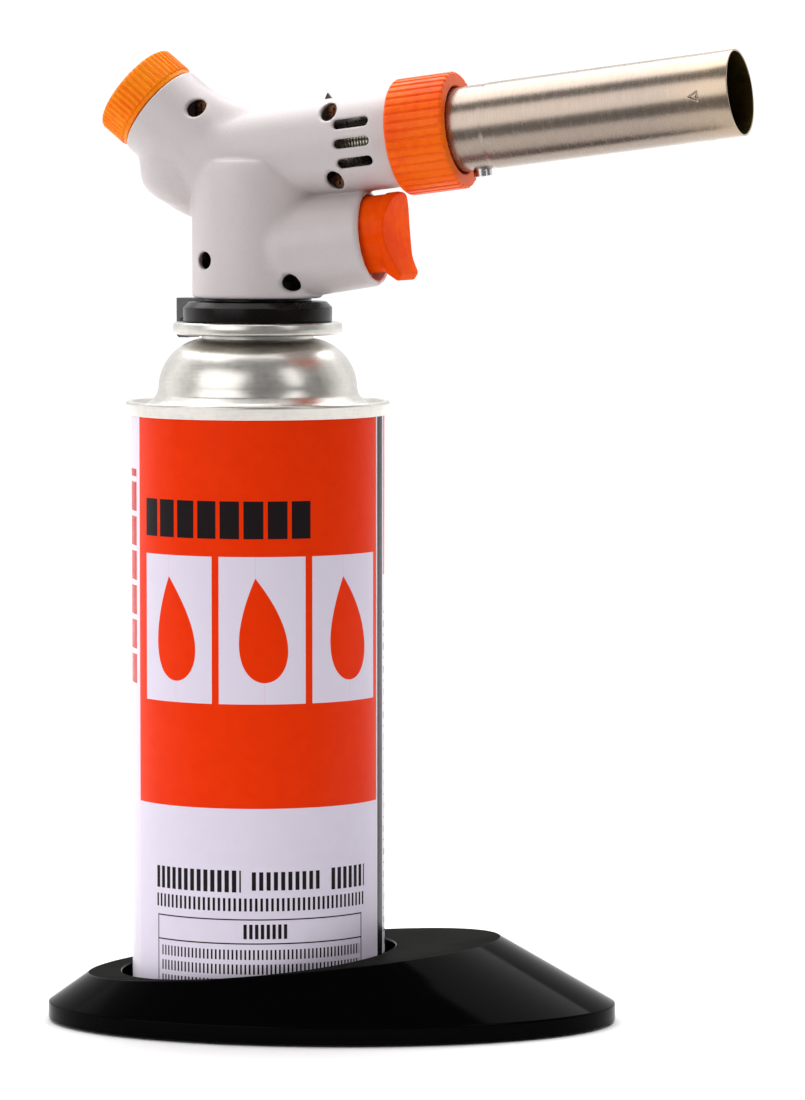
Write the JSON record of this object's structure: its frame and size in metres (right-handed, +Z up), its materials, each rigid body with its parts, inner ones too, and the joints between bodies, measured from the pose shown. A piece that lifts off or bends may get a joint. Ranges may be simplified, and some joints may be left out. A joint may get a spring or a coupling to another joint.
{
  "type": "butane torch",
  "caption": "Hand-held gas torch head with a tilted burner tube, trigger igniter and flow knob, locked on a slim gas can that stands in an oval stand.",
  "frame": {"origin": "on the can's axis, at the stand's underside", "axes": "+X is the way the burner points, +Z is up along the can's axis, +Y is the torch's left"},
  "size_m": [0.1874, 0.101, 0.2548],
  "materials": {
    "stand_gloss": "glossy moulded",
    "plate_steel": "zinc plated",
    "screw_steel": "plated",
    "grip_rubber": "fine textured",
    "can_print": "gloss printed and varnished",
    "tinplate": "satin tinplate",
    "nylon": "natural nylon",
    "spring_steel": "drawn wire",
    "connector_black": "satin moulded",
    "lug_grey": "moulded",
    "brass": "machined",
    "seal_rubber": "moulded",
    "housing_grey": "fine spark-eroded texture",
    "housing_screw": "yellow passivated",
    "burner_steel": "brushed stainless",
    "ceramic": "glazed ceramic",
    "lead_sleeve": "insulated lead",
    "piezo_body": "moulded",
    "piezo_cap": "moulded",
    "orange_plastic": "glossy moulded",
    "trigger_orange": "glossy moulded",
    "mark_dark": "moulded"
  },
  "bodies": {
    "stand": {"stand_shell": "stand_gloss", "stand_base_plate": "plate_steel", "stand_screws": "screw_steel", "stand_grip_sheet": "grip_rubber"},
    "can": {"can_body": "can_print", "can_base_cap": "tinplate", "can_dome": "tinplate", "can_mounting_cup": "tinplate", "can_valve_housing": "nylon", "can_valve_spring": "spring_steel", "can_valve_stem": "nylon", "can_vapour_tube": "nylon"},
    "head": {"connector_ring": "connector_black", "locking_lug": "lug_grey", "inlet_spigot": "brass", "inlet_seal": "seal_rubber", "housing_right": "housing_grey", "housing_left": "housing_grey", "housing_screws": "housing_screw", "index_mark": "mark_dark", "valve_body": "brass", "jet_nozzle": "brass", "mixing_tube": "burner_steel", "burner_tube": "burner_steel", "flame_holder": "brass", "burner_screw": "screw_steel", "electrode": "spring_steel", "electrode_insulator": "ceramic", "ignition_lead": "lead_sleeve", "piezo_igniter": "piezo_body", "trigger_spring": "spring_steel"},
    "knob": {"flow_knob": "orange_plastic", "knob_screw": "screw_steel", "valve_needle": "brass", "needle_seal": "seal_rubber"},
    "air_ring": {"air_ring": "orange_plastic", "air_shutter": "burner_steel"},
    "trigger": {"trigger_button": "trigger_orange", "piezo_plunger": "piezo_cap"}
  },
  "joints": [
    {"name": "can_lift", "type": "slide", "parent": "stand", "child": "can", "axis": [0, 0, 1], "range_m": [0, 0.03]},
    {"name": "head_twist", "type": "hinge", "parent": "can", "child": "head", "pos_m": [0, 0, 0.184], "axis": [0, 0, 1], "range_deg": [-40, 0]},
    {"name": "knob_turn", "type": "hinge", "parent": "head", "child": "knob", "pos_m": [-0.0274, 0, 0.2392], "axis": [-0.7771, 0, 0.6293], "range_deg": [0, 270]},
    {"name": "air_ring_turn", "type": "hinge", "parent": "head", "child": "air_ring", "pos_m": [0, 0, 0.2269], "axis": [0.9922, 0, 0.1245], "range_deg": [0, 90]},
    {"name": "trigger_pull", "type": "slide", "parent": "head", "child": "trigger", "axis": [-0.9922, 0, -0.1245], "range_m": [0, 0.004], "stiffness_N_per_m": 1500, "deforming": ["trigger_spring"]}
  ]
}
